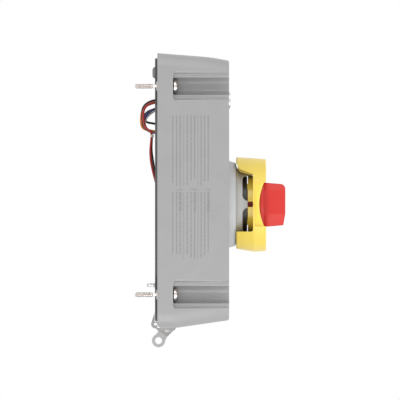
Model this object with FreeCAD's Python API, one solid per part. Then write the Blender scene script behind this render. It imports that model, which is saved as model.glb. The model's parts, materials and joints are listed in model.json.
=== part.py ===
"""Rotary isolator switch: a deep moulded cover that carries a padlockable rotary handle, a stacked rotary
switch, an indicator and its wiring.  It is fastened to a wall box by four captive screws.

Row frame, millimetres: +X to the operator's right, +Y into the wall, +Z up.  The origin is the centre of the
cover's rear rim plane.  The handle is drawn in a dial frame: its own z points at the operator and its own y
points up, with the shaft axis at its origin.
"""

import FreeCAD, Part
import math
import os

V = FreeCAD.Vector
AX, AY, AZ = V(1, 0, 0), V(0, 1, 0), V(0, 0, 1)
OUT = "parts"

# ---- driving dimensions ---------------------------------------------------------------------------------
COVER_TOP, COVER_BOTTOM = 134.0, -134.0     # rear rim, above and below the origin
COVER_HALF_WIDTH = 90.0                     # rear rim
COVER_DEPTH = 70.0
SIDE_TAPER = 5.0                            # lost per side from rim to face
TOP_KNEE_Y, TOP_KNEE_DROP, TOP_KNEE_R = 52.0, 4.1, 150.0   # where the top starts to round over
TOP_FACE_DROP = 7.4
HASP_PAD = 18.0                             # flat stretch of the bottom that carries the hasp
CORNER_R, FACE_EDGE_R, HEEL_R = 14.0, 2.0, 4.0
WALL = 3.5

SCREW_X, SCREW_Z = 79.0, 101.6              # captive cover screws
SCREW_R, SCREW_NECK_R = 2.415, 1.7          # thread, neck
SCREW_TIP = 21.6                            # how far the tips stand out behind the rim
SEAT_DEPTH = 15.3                           # screw seat, in front of the rim plane
FLUTE_R, FLUTE_WALL = 8.2, 3.0
SCOOP_X, SCOOP_HALF, END_R, LIP_SHARE = 83.0, 12.6, 1.1, 0.48
SEAL_T, SEAL_R = 1.1, 7.0                   # rubber washer under each screw head

LEDGE, LEDGE_DEPTH = 7.5, 7.0               # rim ledge inside the gasket's outer edge
GASKET_INSET, GASKET_LOW_INSET, GASKET_W, GROOVE_DEPTH, GASKET_PROUD = 5.0, 6.5, 4.6, 4.0, 2.3
JOG_X, JOG_HALF = 64.5, 19.0                # the gasket passes inside the screw pillars

DIAL_Z = -13.5                              # shaft axis, above the origin
HUB_BASE_R, HUB_SHOULDER_R, HUB_SHOULDER, HUB_WAIST_R = 42.3, 40.3, 77.0, 33.4
HUB_TOP_R, HUB_WALL = 30.1, 2.4
HUB_TOP = 92.6                              # dial heights from here on, measured from the rim plane
HUB_FLOOR = 4.0
WINDOW_SILL, WINDOW_HALF, TONGUE_TOP, TONGUE_HALF = 83.0, 27.5, 88.0, 3.2
CAP_R, CAP_WAIST, CAP_REAR, CAP_FRONT = 46.2, 94.0, 76.9, 106.0
PLATE_REAR = 93.3
RING_REAR, RING_OUT, RING_IN = 88.2, 27.5, 18.5
TROUGH_R, TROUGH_BOTTOM, TROUGH_HALF = 51.0, 99.5, 21.5
NOTCH_X, RIM_LIP, NOTCH_EDGE_R = 38.6, 1.6, 2.4
SHACKLE_W = 5.2                             # padlock passage, in height and width
STEM_R, STEM_REAR = 18.1, 76.0
DISC_R, DISC_REAR, DISC_FRONT, RECESS_R = 21.8, 96.4, 103.6, 22.8
KNOB_FRONT = 124.8
INSERT_R, INSERT_FRONT, INSERT_REAR = 27.3, 87.6, 74.2
SPIGOT_R, SPIGOT_END = 13.8, 64.4
SHAFT_R, SHAFT_SQ = 5.0, 7.0
RUN = 0.05                                  # radial running clearance
HANDLE_SCREW_AT = 16.6                      # the four long screws, either side of the axis

PLATE_T, STANDOFF = 2.0, 4.5                # switch mounting plate and its posts
INDEX_T, DECK_T, AUX_T, END_T = 9.0, 12.0, 9.0, 2.0
STACK_HALF_X, STACK_HALF_Z = 29.0, 34.0
DECKS = 3
TIE_X, TIE_Z, TIE_R = 25.0, 28.0, 1.75
PLATE_SCREW_X, PLATE_SCREW_Z, WASHER_T = 34.0, 22.0, 0.9
DRUM_R, BLADE_R, BLADE_HALF = 11.0, 18.5, 4.0
CAM_LOW, CAM_LIFT = 9.0, 2.4                # plunger travel over the quarter turn
POCKET_HALF, TERMINAL_HALF, TERMINAL_TOP = 10.4, 9.2, 27.2   # wiring pockets at the ends of each deck
FERRULE_X, FERRULE_R, FERRULE_TOP = 7.2, 1.6, 31.4           # crimped wire ends, beside the screws

LAMP_Z = 87.7                               # indicator, above the origin
BEZEL_R, BEZEL_PROUD = 8.3, 1.4
BOARD_X, BOARD_Z, BOARD_T, BOARD_Y = 19.0, 14.5, 1.6, -57.0
WIRE_R = 1.1
HASP_HALF_X, HASP_T, HASP_EYE_R = 14.0, 2.2, 3.3
STUD_X, STUD_Z = -46.0, -92.4


# ---- drawing helpers --------------------------------------------------------------------------------------
def save(name, *solids):
    """Writes one node, made of one or more separate solids."""
    flat = [s for shape in solids for s in shape.Solids]
    shape = flat[0] if len(flat) == 1 else Part.makeCompound(flat)
    shape.exportStep(os.path.join(OUT, name + ".step"))


def rod(r, start, direction, length):
    return Part.makeCylinder(r, length, V(*start), V(*direction))


def block(x0, x1, y0, y1, z0, z1):
    return Part.makeBox(x1 - x0, y1 - y0, z1 - z0, V(x0, y0, z0))


def turned(points):
    """Revolves an (r, height) outline about +Z."""
    ring = [V(r, 0, h) for r, h in points]
    return Part.Face(Part.makePolygon(ring + ring[:1])).revolve(V(), AZ, 360)


def stand(shape, origin, direction):
    """Takes a shape drawn about +Z and stands it on origin along direction."""
    s = shape.copy()
    s.Placement = FreeCAD.Placement(V(*origin), FreeCAD.Rotation(AZ, V(*direction))).multiply(s.Placement)
    return s


def on_dial(shape):
    """Moves a shape from the dial frame into the row frame."""
    return stand(shape, (0, 0, DIAL_Z), (0, -1, 0))


def corners(points, radii, lift=lambda u, v: V(u, v, 0)):
    """A closed wire through (u, v) points with each corner rounded by its radius."""
    n = len(points)
    radii = [radii] * n if isinstance(radii, (int, float)) else radii
    flat = [V(u, v, 0) for u, v in points]
    edges, starts, ends = [], [], []
    for i, (p, r) in enumerate(zip(flat, radii)):
        a, b = (flat[i - 1] - p).normalize(), (flat[(i + 1) % n] - p).normalize()
        half = a.getAngle(b) / 2
        back = r / math.tan(half) if r else 0
        start, end = p + a * back, p + b * back
        if r:
            inward = (a + b).normalize()
            middle = p + inward * (r / math.sin(half) - r)
            edges.append(Part.Arc(*[lift(q.x, q.y) for q in (start, middle, end)]).toShape())
        starts.append(start)
        ends.append(end)
    for i in range(n):
        a, b = ends[i], starts[(i + 1) % n]
        if a.distanceToPoint(b) > 1e-6:
            edges.append(Part.makeLine(lift(a.x, a.y), lift(b.x, b.y)))
    return Part.Wire(Part.__sortEdges__(edges))


def slab(points, radii, z0, z1):
    """An outline in XY, extruded from z0 to z1."""
    wire = corners(points, radii)
    return Part.Face(wire).extrude(AZ * (z1 - z0)).translated(AZ * z0)


def across(points, radii, half):
    """An outline in the YZ plane, extruded by half to each side of x = 0."""
    wire = corners(points, radii, lambda u, v: V(-half, u, v))
    return Part.Face(wire).extrude(AX * (2 * half))


def rect(half_x, half_z):
    return [(-half_x, -half_z), (half_x, -half_z), (half_x, half_z), (-half_x, half_z)]


def four(shape):
    """The shape and its mirror images in x and in the row frame's z = 0 plane."""
    side = shape.mirror(V(), AX)
    return [shape, side, shape.mirror(V(), AZ), side.mirror(V(), AZ)]


def rounded(shape, radius, wanted):
    """Fillets the edges whose midpoint passes the test."""
    picked = []
    for e in shape.Edges:
        mid = e.valueAt((e.FirstParameter + e.LastParameter) / 2)
        if wanted(mid, e):
            picked.append(e)
    return shape.makeFillet(radius, picked)


def pan_screw(head_r, head_h, shank_r, length, recess=True):
    """A pan head screw: the head stands on z = 0 and the shank runs down -z."""
    dome = turned([(0, 0), (head_r, 0), (head_r, head_h * 0.45), (head_r * 0.86, head_h * 0.8),
                   (head_r * 0.55, head_h), (0, head_h)])
    tip = shank_r * 0.35
    shank = turned([(0, 0), (shank_r, 0), (shank_r, tip - length), (shank_r - tip, -length), (0, -length)])
    screw = dome.fuse(shank)
    if recess:
        blade, depth, reach = head_r * 0.13, head_h * 0.55, head_r * 0.62
        for a, b in ((reach, blade), (blade, reach)):
            screw = screw.cut(block(-a, a, -b, b, head_h - depth, head_h + 1))
    return screw.removeSplitter()


def hex_nut(across_flats, height, bore):
    r = across_flats / math.sqrt(3)
    pts = [(r * math.cos(math.radians(60 * i)), r * math.sin(math.radians(60 * i))) for i in range(6)]
    body = slab(pts, 0, 0, height)
    chamfer = turned([(0, 0), (r - height * 0.12, 0), (r, height * 0.12), (r, height * 0.88),
                      (r - height * 0.12, height), (0, height)])
    return body.common(chamfer).cut(rod(bore, (0, 0, -1), (0, 0, 1), height + 2))


def washer(r_out, r_in, height):
    return turned([(r_in, 0), (r_out, 0), (r_out, height), (r_in, height)])


# ---- cover ------------------------------------------------------------------------------------------------
def tub(inset, depth, back):
    """The cover's tapered outer form, or, with an inset, the hollow inside it."""
    top, bottom = COVER_TOP - inset, COVER_BOTTOM + inset
    lost = TOP_FACE_DROP * depth / COVER_DEPTH
    wide = COVER_HALF_WIDTH + 10
    profile = across([(back, top), (-TOP_KNEE_Y, top - TOP_KNEE_DROP), (-depth, top - lost), (-depth, bottom + lost),
                      (-HASP_PAD, bottom), (back, bottom)],
                     [0, TOP_KNEE_R, 0, 0, 0, 0], wide)
    rear, front = COVER_HALF_WIDTH - inset, COVER_HALF_WIDTH - inset - SIDE_TAPER * depth / COVER_DEPTH
    plan = [V(-rear, back, -200), V(rear, back, -200), V(front, -depth, -200), V(-front, -depth, -200)]
    if back:
        plan = plan[:2] + [V(rear, 0, -200)] + plan[2:] + [V(-rear, 0, -200)]
    plan = Part.makePolygon(plan + plan[:1])
    body = profile.common(Part.Face(plan).extrude(AZ * 400))
    tall = (abs(bottom) + top) / 2 * 0.8

    def long_edge(mid, e):
        d = e.tangentAt(e.FirstParameter)
        return abs(mid.z) > tall and abs(mid.x) > front - 2 and abs(d.x) < 0.3 and abs(d.y) > 0.5

    return rounded(body, CORNER_R - inset * 0.8, long_edge)


def flute(grow):
    """One screw flute at +x, +z: a round groove that opens into a wide shallow scoop with soft lips."""
    r, wide, floor, reach = FLUTE_R + grow, SCOOP_HALF + grow, SCOOP_X - grow, COVER_HALF_WIDTH + 10
    back = 0 if grow else -SEAT_DEPTH

    def outline(y):
        side = COVER_HALF_WIDTH + SIDE_TAPER * y / COVER_DEPTH + 0.02
        lip = (side - SCOOP_X) * LIP_SHARE
        half = [(reach, wide + lip), (side, wide + lip), (side, wide), (floor, wide), (floor, r), (SCREW_X - r, r)]
        soft = [0, 0, lip - 0.01, lip * 0.9, 1.7, r * 0.8]
        points = half + [(u, -v) for u, v in reversed(half)]
        return corners(points, soft + soft[::-1], lambda u, v: V(u, y, v + SCREW_Z))

    front = -COVER_DEPTH - 3
    body = Part.makeLoft([outline(back), outline(front)], True, True)
    if grow:
        return body
    body = rounded(body, END_R, lambda m, e: abs(m.y - back) < 0.01 and m.x < SCOOP_X + 0.5)
    low, high = SCREW_Z - wide - 3, SCREW_Z + wide + 3
    return body.common(across([(back, low), (front, low), (front, high), (back, high)], [6, 0, 0, 6], 120))


def gasket_region(inset, y0, y1):
    """The area inside the gasket's outer edge, shrunk by inset, extruded from y0 to y1."""
    x, jog, r = COVER_HALF_WIDTH - GASKET_INSET - inset, JOG_X - inset, 6.0
    near, top = SCREW_Z - JOG_HALF - inset, COVER_TOP - GASKET_INSET - inset
    bottom = COVER_BOTTOM + GASKET_LOW_INSET + inset
    upper = [(x, near), (jog, near), (jog, top), (-jog, top), (-jog, near), (-x, near)]
    below = [(-u, bottom if v == top else -v) for u, v in upper]
    wire = corners(upper + below, r, lambda u, v: V(u, y0, v))
    return Part.Face(wire).extrude(AY * (y1 - y0))


def cover_shell():
    outer = tub(0, COVER_DEPTH, 0)
    heel = block(-100, 100, -HEEL_R, 1, COVER_BOTTOM - 1, COVER_BOTTOM + HEEL_R)
    outer = outer.cut(heel.cut(rod(HEEL_R, (-100, -HEEL_R, COVER_BOTTOM + HEEL_R), (1, 0, 0), 200)))
    outer = rounded(outer, FACE_EDGE_R, lambda m, e: abs(m.y + COVER_DEPTH) < 0.01)
    for cut in four(flute(0)):
        outer = outer.cut(cut)
    hollow = tub(WALL, COVER_DEPTH - WALL, 1)
    for pillar in four(flute(FLUTE_WALL)):
        hollow = hollow.cut(pillar)
    ledge = block(-100, 100, -LEDGE_DEPTH, 2, -150, 150).cut(gasket_region(LEDGE, -LEDGE_DEPTH - 1, 3))
    shell = outer.cut(hollow.cut(ledge))
    inner_face = -COVER_DEPTH + WALL
    posts = [rod(5.0, (sx * PLATE_SCREW_X, inner_face, DIAL_Z + sz * PLATE_SCREW_Z), (0, 1, 0), STANDOFF)
             for sx in (-1, 1) for sz in (-1, 1)]
    posts += [rod(3.2, (sx * 16, inner_face, LAMP_Z + sz * 11.5), (0, 1, 0), BOARD_Y - inner_face)
              for sx in (-1, 1) for sz in (-1, 1)]
    posts.append(rod(5.0, (STUD_X, inner_face, STUD_Z), (0, 1, 0), -inner_face - 3.0))
    ribs = [block(-70, 70, inner_face, inner_face + 6, z - 1.1, z + 1.1) for z in (62.0, 112.0, -58.0, -112.0)]
    ribs += [block(x - 1.1, x + 1.1, inner_face, inner_face + 6, -118, -58) for x in (-30, 0, 30)]
    lugs = []
    for x in (-40, 40):
        lug = across([(-LEDGE_DEPTH, 126), (-LEDGE_DEPTH, 112), (-1, 108.5), (4.8, 109.5), (4.8, 119.5),
                      (0, 121.6), (0, 126)], [0, 2, 2, 3.2, 3.2, 1, 0], 3.0)
        lugs.append(lug.translated(AX * x))
    shell = shell.fuse(posts + ribs + lugs).removeSplitter()
    groove = gasket_region(0, -GROOVE_DEPTH, 6).cut(gasket_region(GASKET_W, -GROOVE_DEPTH - 1, 7))
    cuts = [groove.common(block(-100, 100, -GROOVE_DEPTH, 0.001, -150, 150))]
    cuts += four(rod(SCREW_R + 0.35, (SCREW_X, -SEAT_DEPTH - 1, SCREW_Z), (0, 1, 0), SEAT_DEPTH + 2))
    cuts.append(rod(SPIGOT_R + 0.2, (0, -COVER_DEPTH - 1, DIAL_Z), (0, 1, 0), WALL + 2))
    cuts += [rod(2.2, (sx * HANDLE_SCREW_AT, -COVER_DEPTH - 1, DIAL_Z + sz * HANDLE_SCREW_AT), (0, 1, 0), WALL + 2)
             for sx in (-1, 1) for sz in (-1, 1)]
    cuts.append(rod(6.3, (0, -COVER_DEPTH - 1, LAMP_Z), (0, 1, 0), WALL + 2))
    cuts += [rod(2.05, (sx * PLATE_SCREW_X, inner_face + STANDOFF - 8.0, DIAL_Z + sz * PLATE_SCREW_Z), (0, 1, 0), 9)
             for sx in (-1, 1) for sz in (-1, 1)]
    cuts += [rod(1.3, (sx * 16, BOARD_Y - 6, LAMP_Z + sz * 11.5), (0, 1, 0), 7) for sx in (-1, 1) for sz in (-1, 1)]
    cuts.append(rod(1.75, (STUD_X, -13, STUD_Z), (0, 1, 0), 11))
    cuts += [rod(2.05, (sx * 9.5, -9.0, COVER_BOTTOM - 1), (0, 0, 1), 9) for sx in (-1, 1)]
    for c in cuts:
        shell = shell.cut(c)
    return shell


def rim_gasket():
    ring = gasket_region(0.15, -GROOVE_DEPTH, GASKET_PROUD).cut(
        gasket_region(GASKET_W - 0.15, -GROOVE_DEPTH - 1, GASKET_PROUD + 1))
    return rounded(ring, 1.0, lambda m, e: abs(m.y - GASKET_PROUD) < 0.01)


def cover_screw():
    """Captive screw at +x, +z: domed head, long reduced neck, threaded end past the rim."""
    seat = -SEAT_DEPTH - SEAL_T
    head = turned([(0, 0), (6.4, 0), (6.4, 1.3), (5.7, 2.7), (4.2, 3.7), (2.2, 4.2), (0, 4.3)])
    for a, b in ((7.0, 0.6), (0.6, 3.4)):
        head = head.cut(block(-a, a, -b, b, 2.4, 6))
    head = stand(head, (SCREW_X, seat, SCREW_Z), (0, -1, 0))
    profile = [(0, seat), (SCREW_NECK_R, seat), (SCREW_NECK_R, 4.5), (SCREW_R, 5.3), (SCREW_R, SCREW_TIP - 1.4),
               (1.4, SCREW_TIP), (0, SCREW_TIP)]
    shank = stand(turned(profile), (SCREW_X, 0, SCREW_Z), (0, 1, 0))
    return head.fuse(shank).removeSplitter()


def hasp():
    """Padlock hasp: a screwed flange under the cover, a web with the padlock eye and a small seal-wire lug."""
    eye_y, eye_z, eye_r = -1.2, -146.4, 6.5
    lug_y, lug_z, lug_r = 1.7, -130.3, 4.4
    notch_z, behind = -127.8, GASKET_PROUD + 0.35
    web = across([(-18.3, COVER_BOTTOM), (-9.9, -142.5), (-7.6, eye_z), (eye_y, eye_z - 1), (2.0, -141.0),
                  (-1.1, -137.2), (0.9, -135.0), (1.2, lug_z), (0.05, lug_z), (0.05, COVER_BOTTOM)],
                 [0, 3.0, 0, 0, 0, 0.8, 0, 0, 0, 0], 1.6)
    tail = across([(behind, -118.0), (3.2, -121.0), (5.9, -128.6), (behind, -131.0)], [0, 3.0, 3.0, 0], 1.6)
    eye = rod(eye_r, (-1.6, eye_y, eye_z), (1, 0, 0), 3.2)
    lug = rod(lug_r, (-1.6, lug_y, lug_z), (1, 0, 0), 3.2)
    for keep_out in (block(-5, 5, -20, 0.05, COVER_BOTTOM, -100), block(-5, 5, -1, behind, notch_z, -100)):
        lug = lug.cut(keep_out)
    flange = block(-HASP_HALF_X, HASP_HALF_X, -17.5, -1.0, COVER_BOTTOM - HASP_T, COVER_BOTTOM)
    flange = rounded(flange, 3.0, lambda m, e: abs(e.tangentAt(0).z) > 0.9)
    body = web.fuse([tail, eye, lug, flange])
    for cut in (rod(HASP_EYE_R, (-5, eye_y, eye_z), (1, 0, 0), 10), rod(1.4, (-5, lug_y, lug_z), (1, 0, 0), 10)):
        body = body.cut(cut)
    for sx in (-1, 1):
        body = body.cut(rod(2.1, (sx * 9.5, -9.0, -140), (0, 0, 1), 10))
    return body.removeSplitter()


# ---- handle -----------------------------------------------------------------------------------------------
def waist_r(height):
    """Radius of the hub's slightly conical waist at a dial height."""
    return HUB_WAIST_R + (HUB_TOP_R - HUB_WAIST_R) * (height - HUB_SHOULDER) / (HUB_TOP - HUB_SHOULDER)


def handle_hub():
    floor, bore = COVER_DEPTH + HUB_FLOOR, HUB_TOP_R - HUB_WALL
    outline = corners([(SPIGOT_R + 0.2, COVER_DEPTH), (HUB_BASE_R, COVER_DEPTH), (HUB_SHOULDER_R, HUB_SHOULDER - 0.6),
                       (HUB_WAIST_R, HUB_SHOULDER + 1.0), (HUB_TOP_R, HUB_TOP), (bore, HUB_TOP), (bore, floor),
                       (SPIGOT_R + 0.2, floor)], [0, 0, 1.4, 6.0, 0.6, 0.6, 1.0, 0], lambda u, v: V(u, 0, v))
    hub = Part.Face(outline).revolve(V(), AZ, 360)
    top = HUB_TOP + 5
    for sy in (-1, 1):
        window = [(sy * WINDOW_HALF, top), (sy * WINDOW_HALF, WINDOW_SILL), (sy * TONGUE_HALF, WINDOW_SILL),
                  (sy * TONGUE_HALF, top)]
        hub = hub.cut(across(window, [0, 4.0, 6.0, 0], 50))
    hub = hub.cut(block(-50, 50, -TONGUE_HALF - 1, TONGUE_HALF + 1, TONGUE_TOP, top))
    for sx in (-1, 1):
        for sy in (-1, 1):
            hub = hub.cut(rod(2.2, (sx * HANDLE_SCREW_AT, sy * HANDLE_SCREW_AT, COVER_DEPTH - 1), (0, 0, 1), 8))
    return on_dial(hub)


def shaft_insert():
    """Black bearing insert: disc in the hub, spigot through the cover, bore for the shaft and its seal."""
    body = turned([(SHAFT_R + RUN, SPIGOT_END), (SPIGOT_R, SPIGOT_END), (SPIGOT_R, INSERT_REAR),
                   (INSERT_R, INSERT_REAR), (INSERT_R, INSERT_FRONT), (STEM_R + 0.3, INSERT_FRONT),
                   (STEM_R + 0.3, STEM_REAR - 0.3), (SHAFT_R + RUN, STEM_REAR - 0.3)])
    groove = turned([(0, 69.0), (7.3, 69.0), (7.3, 71.4), (0, 71.4)])
    body = body.cut(groove)
    for sx in (-1, 1):
        for sy in (-1, 1):
            body = body.cut(rod(2.2, (sx * HANDLE_SCREW_AT, sy * HANDLE_SCREW_AT, 60), (0, 0, 1), 40))
    return on_dial(body)


def shaft_seal():
    return on_dial(Part.makeTorus(6.16, 1.1, V(0, 0, 70.2), AZ))


def cap_half(rear_r, waist_r, front_r, side):
    """One half of the cap's outer form, above or below the axis."""
    whole = turned([(0, CAP_REAR), (rear_r - 0.8, CAP_REAR), (rear_r, CAP_REAR + 1.0), (waist_r, CAP_WAIST),
                    (front_r, CAP_FRONT - 0.8), (front_r - 0.8, CAP_FRONT), (0, CAP_FRONT)])
    return whole.common(block(-60, 60, *sorted((0, side * 60)), CAP_REAR - 1, CAP_FRONT + 1))


def escutcheon():
    """Yellow cap: plate with a finger trough, two arms that reach back over the hub, and a ring for the stem."""
    body = cap_half(CAP_R - 0.2, CAP_R - 1.2, CAP_R - 2.0, 1).fuse(
        cap_half(CAP_R - 2.6, CAP_R, CAP_R - 0.4, -1)).removeSplitter()
    trough = Part.makeCylinder(TROUGH_R, 120, V(-60, 0, TROUGH_BOTTOM + TROUGH_R), AX)
    trough = trough.common(block(-60, 60, -TROUGH_HALF, TROUGH_HALF, 90, 120))
    for sx in (-1, 1):
        x0, x1 = sorted((sx * NOTCH_X, sx * 60))
        trough = trough.fuse(block(x0, x1, -TROUGH_HALF, TROUGH_HALF, PLATE_REAR + RIM_LIP, 120))
    body = body.cut(trough)
    body = rounded(body, NOTCH_EDGE_R, lambda m, e: abs(abs(m.x) - NOTCH_X) < 0.05 and abs(m.y) < 1
                   and m.z > TROUGH_BOTTOM - 0.5)
    clear = 0.7
    shoulder = HUB_SHOULDER + 1.0
    around = corners([(0, CAP_REAR - 2), (HUB_SHOULDER_R + 2.0, CAP_REAR - 2), (HUB_SHOULDER_R + 0.6, shoulder),
                      (HUB_WAIST_R + clear, shoulder + 1.0), (HUB_TOP_R + clear, PLATE_REAR), (0, PLATE_REAR)],
                     [0, 0, 0.8, 5.5, 0, 0], lambda u, v: V(u, 0, v))
    body = body.cut(Part.Face(around).revolve(V(), AZ, 360))
    opening = across([(-26.6, CAP_REAR - 2), (-26.6, PLATE_REAR), (29.6, PLATE_REAR), (31.4, 88.0), (34.6, 79.8),
                      (41.0, 77.0), (41.0, CAP_REAR - 2)], [0, 2.0, 1.2, 3.0, 4.0, 1.0, 0], 60)
    upper_middle = block(-13, 13, 28.5, 60, CAP_REAR - 3, PLATE_REAR + 1)
    body = body.cut(opening.cut(upper_middle))
    deep = PLATE_REAR + 5.5
    pockets = turned([(CAP_R - 5.0, CAP_REAR - 1), (CAP_R - 4.0, deep), (waist_r(PLATE_REAR) + 6, deep),
                      (waist_r(PLATE_REAR) + 3.6, PLATE_REAR), (HUB_SHOULDER_R, shoulder + 4.0),
                      (HUB_SHOULDER_R, CAP_REAR - 1)])
    beyond = block(-60, 60, 37.0, 60, CAP_REAR - 2, 110).fuse(block(-60, 60, -60, -29.6, CAP_REAR - 2, 110))
    body = body.cut(pockets.common(beyond))
    ring = washer(RING_OUT, RING_IN, PLATE_REAR + 0.5 - RING_REAR).translated(AZ * RING_REAR)
    ring = ring.cut(block(-60, 60, -SHACKLE_W / 2, SHACKLE_W / 2, RING_REAR - 1, PLATE_REAR))
    posts = [rod(3.4, (sx * HANDLE_SCREW_AT, sy * HANDLE_SCREW_AT, INSERT_FRONT), (0, 0, 1), 6.5)
             for sx in (-1, 1) for sy in (-1, 1)]
    body = body.fuse([ring] + posts)
    body = body.cut(rod(RING_IN, (0, 0, 80), (0, 0, 1), 40))
    body = body.cut(rod(RECESS_R, (0, 0, DISC_REAR - 0.3), (0, 0, 1), 20))
    for sx in (-1, 1):
        for sy in (-1, 1):
            body = body.cut(rod(1.9, (sx * HANDLE_SCREW_AT, sy * HANDLE_SCREW_AT, 80), (0, 0, 1), 16.5))
    return on_dial(body.removeSplitter())


def knob():
    """Red knob: stem with the padlock passage, disc in the plate's recess and a tapered grip bar."""
    stem = turned([(0, STEM_REAR), (STEM_R - 0.6, STEM_REAR), (STEM_R, STEM_REAR + 0.6), (STEM_R, DISC_REAR),
                   (DISC_R, DISC_REAR), (DISC_R, DISC_FRONT - 2.2), (DISC_R - 1.6, DISC_FRONT), (0, DISC_FRONT)])
    foot, top = DISC_FRONT - 1.0, KNOB_FRONT

    def grip_outline(shrink, height):
        side, low, high = 9.6 - shrink * 0.7, -22.2 + shrink, 21.4 - shrink
        points = [(4.2 - shrink * 0.3, low), (side, -9.6), (side, 13.8), (6.2 - shrink * 0.4, high)]
        points += [(-u, v) for u, v in reversed(points)]
        return corners(points, [2.2, 1.2, 1.2, 2.4, 2.4, 1.2, 1.2, 2.2], lambda u, v: V(u, v, height))

    bar = Part.makeLoft([grip_outline(0.0, foot), grip_outline(2.2, top + 3.0)], True, True)
    bar = bar.common(across([(-30, foot), (-30, top - 3.6), (-9.0, top), (17.0, top), (20.0, top - 3.2), (21.6, foot)],
                            [0, 0, 8.0, 4.5, 4.5, 0], 20))
    bar = rounded(bar, 1.0, lambda m, e: m.z > top - 4.0 and abs(m.x) > 3)
    body = stem.fuse(bar).removeSplitter()
    body = body.cut(block(-SHACKLE_W / 2, SHACKLE_W / 2, -30, 30, RING_REAR + 0.1, PLATE_REAR))
    half = SHAFT_SQ / 2 + 0.03
    body = body.cut(block(-half, half, -half, half, STEM_REAR - 1, RING_REAR - 1.6))
    body = body.cut(rod(1.55, (0, -30, 81.5), (0, 1, 0), 60))
    return on_dial(body)


def shaft():
    half = SHAFT_SQ / 2
    end = RING_REAR - 1.8
    body = rod(SHAFT_R, (0, 0, 61.0), (0, 0, 1), STEM_REAR - 61.0)
    body = body.fuse(block(-half, half, -half, half, 4.4, end)).removeSplitter()
    body = body.cut(rod(1.55, (0, -30, 81.5), (0, 1, 0), 60))
    groove = washer(SHAFT_R + 1, SHAFT_R - 0.7, 1.1).translated(AZ * 63.1)
    return on_dial(body.cut(groove))


def circlip():
    ring = washer(SHAFT_R + 2.3, SHAFT_R - 0.65, 0.9).translated(AZ * 63.2)
    return on_dial(ring.cut(block(0, 20, -1.6, 1.6, 60, 70)))


def roll_pin():
    pin = rod(1.5, (0, -STEM_R + 0.7, 81.5), (0, 1, 0), 2 * STEM_R - 1.4)
    pin = pin.cut(rod(0.9, (0, -30, 81.5), (0, 1, 0), 60)).cut(block(-0.25, 0.25, -30, 30, 81.5, 85))
    return on_dial(pin)


# ---- switch stack -------------------------------------------------------------------------------------------
STACK_FRONT = COVER_DEPTH - WALL - STANDOFF          # dial height of the mounting plate's front face
INDEX_FRONT = STACK_FRONT - PLATE_T
DECK_FRONT = INDEX_FRONT - INDEX_T
AUX_FRONT = DECK_FRONT - DECKS * DECK_T
END_FRONT = AUX_FRONT - AUX_T
STACK_REAR = END_FRONT - END_T
AUX_TERMINALS = [(-19.6, -14.0), (-12.4, -14.0)]       # on the stack's rear face


def tie_points():
    return [(sx * TIE_X, sy * TIE_Z) for sx in (-1, 1) for sy in (-1, 1)]


def ferrules():
    """Crimped ends that carry a wire into the upper terminal of each pole."""
    return [on_dial(rod(FERRULE_R, (FERRULE_X, TERMINAL_TOP, deck_y(i) - 7.0), (0, 1, 0), FERRULE_TOP - TERMINAL_TOP))
            for i in range(DECKS)]


def plate_tag():
    """Ring tag under one mounting plate screw, with a crimp barrel for the earth lead."""
    x, y, top = PLATE_SCREW_X, PLATE_SCREW_Z, INDEX_FRONT
    ring = washer(3.8, 2.1, WASHER_T).translated(V(x, y, top - WASHER_T))
    tongue = block(x - 1.6, x + 1.6, y + 3.2, y + 6.5, top - WASHER_T, top)
    barrel = rod(1.6, (x, y + 6.0, top - 1.7), (0, 1, 0), 5.0)
    return on_dial(ring.fuse([tongue, barrel]).removeSplitter().cut(rod(2.1, (x, y, 40), (0, 0, 1), 40)))


def plate_washers():
    ring = washer(3.8, 2.1, WASHER_T)
    return [on_dial(ring.translated(V(sx * PLATE_SCREW_X, sy * PLATE_SCREW_Z, INDEX_FRONT - WASHER_T)))
            for sx, sy in ((-1, 1), (-1, -1), (1, -1))]


def drilled(body, r):
    for x, y in tie_points():
        body = body.cut(rod(r, (x, y, -5), (0, 0, 1), 90))
    return body


def mount_plate():
    plate = slab(rect(39.0, 31.5), 5.0, INDEX_FRONT, STACK_FRONT)
    plate = plate.cut(rod(9.0, (0, 0, 50), (0, 0, 1), 30))
    for sx in (-1, 1):
        for sy in (-1, 1):
            plate = plate.cut(rod(2.3, (sx * PLATE_SCREW_X, sy * PLATE_SCREW_Z, 50), (0, 0, 1), 30))
    return on_dial(drilled(plate, TIE_R + 0.02))


def stack_block(front, rear, corner=3.0):
    return slab(rect(STACK_HALF_X, STACK_HALF_Z), corner, rear, front)


def index_housing():
    body = stack_block(INDEX_FRONT, DECK_FRONT)
    body = body.cut(rod(15.2, (0, 0, DECK_FRONT), (0, 0, 1), INDEX_T - 1.3))
    body = body.cut(block(-23.5, 23.5, -21, 21, DECK_FRONT, INDEX_FRONT - 1.3))
    return on_dial(drilled(body.cut(rod(SHAFT_R + 0.3, (0, 0, 40), (0, 0, 1), 40)), TIE_R + 0.1))


def star_wheel():
    r, notch_r = 14.0, 3.2
    front, rear = INDEX_FRONT - 1.6, DECK_FRONT + 0.3
    body = rod(r, (0, 0, rear), (0, 0, 1), front - rear)
    for i in range(4):
        a = math.radians(90 * i)
        at = r + 1.4
        body = body.cut(rod(notch_r, (at * math.cos(a), at * math.sin(a), rear - 1), (0, 0, 1), 20))
    half = SHAFT_SQ / 2 + 0.03
    return on_dial(body.cut(block(-half, half, -half, half, rear - 1, front + 1)))


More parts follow.
